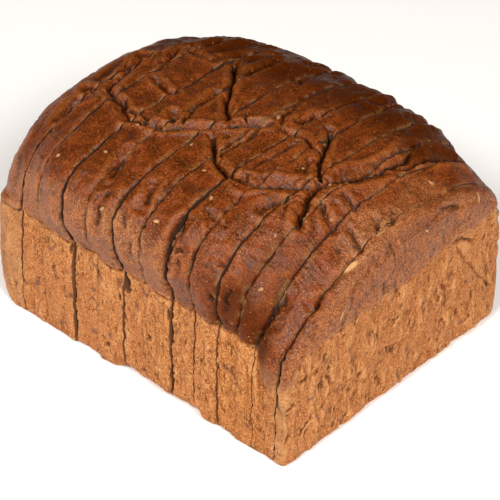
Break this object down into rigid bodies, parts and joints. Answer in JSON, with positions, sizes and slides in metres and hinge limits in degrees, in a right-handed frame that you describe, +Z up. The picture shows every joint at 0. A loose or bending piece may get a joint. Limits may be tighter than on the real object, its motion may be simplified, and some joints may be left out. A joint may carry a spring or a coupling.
{
  "type": "seeded bread loaf",
  "caption": "Sliced seeded tin loaf standing whole: dark cracked crust dome over paler straight tin sides, with saw cuts across it and small seeds in the crust.",
  "frame": {"origin": "middle of the loaf's footprint, on the surface it rests on", "axes": "+X along the loaf, square to its slices, towards the thin heel; +Z up; -Y towards the long side that the picture shows"},
  "size_m": [0.1528, 0.1332, 0.0901],
  "materials": {
    "crust": "baked crust, dark brown and softly glossy on the dome, tan and matt on the tin sides"
  },
  "bodies": {
    "root": {"heel_left": "crust", "slice_01": "crust", "slice_02": "crust", "slice_03": "crust", "slice_04": "crust", "slice_05": "crust", "slice_06": "crust", "slice_07": "crust", "slice_08": "crust", "slice_09": "crust", "slice_10": "crust", "slice_11": "crust", "heel_right": "crust"}
  },
  "joints": []
}
